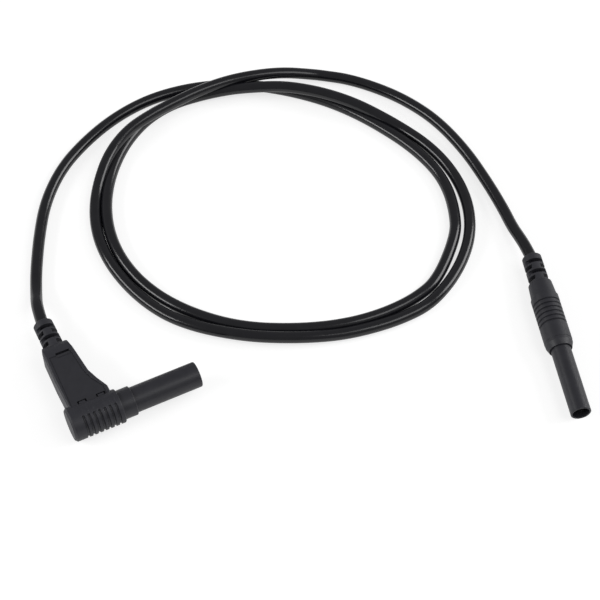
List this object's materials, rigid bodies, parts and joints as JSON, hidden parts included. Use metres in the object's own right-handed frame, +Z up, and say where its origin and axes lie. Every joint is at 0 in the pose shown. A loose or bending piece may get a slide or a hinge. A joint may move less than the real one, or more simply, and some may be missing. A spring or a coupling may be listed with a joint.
{
  "type": "electronic test lead",
  "caption": "Black silicone test lead lying in loose turns, with a right-angle shrouded banana plug at one end and a slim straight shrouded plug at the other.",
  "frame": {"origin": "centre of the footprint of the two plugs, within half a millimetre, at bench level; the free cord is left out of it", "axes": "+X runs from the right-angle plug to the straight plug, +Y from the plug mouths towards the far side of the coil, +Z up from the bench"},
  "size_m": [0.1732, 0.1496, 0.0107],
  "materials": {
    "housing_black": "satin",
    "boot_black": "satin",
    "cord_black": "semi-gloss",
    "bush_black": "matte",
    "contact_nickel": "polished",
    "spring_nickel": "polished",
    "copper": "bare"
  },
  "bodies": {
    "lead": {"elbow_body": "housing_black", "elbow_cover": "housing_black", "elbow_rear_cap": "housing_black", "elbow_boot": "boot_black", "elbow_shroud": "housing_black", "elbow_pin_holder": "bush_black", "elbow_pin": "contact_nickel", "elbow_terminal": "contact_nickel", "elbow_cord_sheath": "cord_black", "elbow_strands": "copper", "straight_grip": "housing_black", "straight_boot": "boot_black", "straight_shroud": "housing_black", "straight_pin_holder": "bush_black", "straight_pin": "contact_nickel", "straight_cord_sheath": "cord_black", "straight_strands": "copper", "cord_to_elbow": "cord_black", "cord_coil": "cord_black", "cord_to_straight": "cord_black"},
    "elbow_contact": {"elbow_spring": "spring_nickel"},
    "straight_contact": {"straight_spring": "spring_nickel"}
  },
  "joints": [
    {"name": "elbow_spring_turn", "type": "hinge", "parent": "lead", "child": "elbow_contact", "pos_m": [-0.04516, -0.01695, 0.00535], "axis": [0.8988, 0.4384, 0], "continuous": true},
    {"name": "straight_spring_turn", "type": "hinge", "parent": "lead", "child": "straight_contact", "pos_m": [0.07933, -0.01107, 0.0044], "axis": [0.1788, -0.9839, 0], "continuous": true}
  ]
}
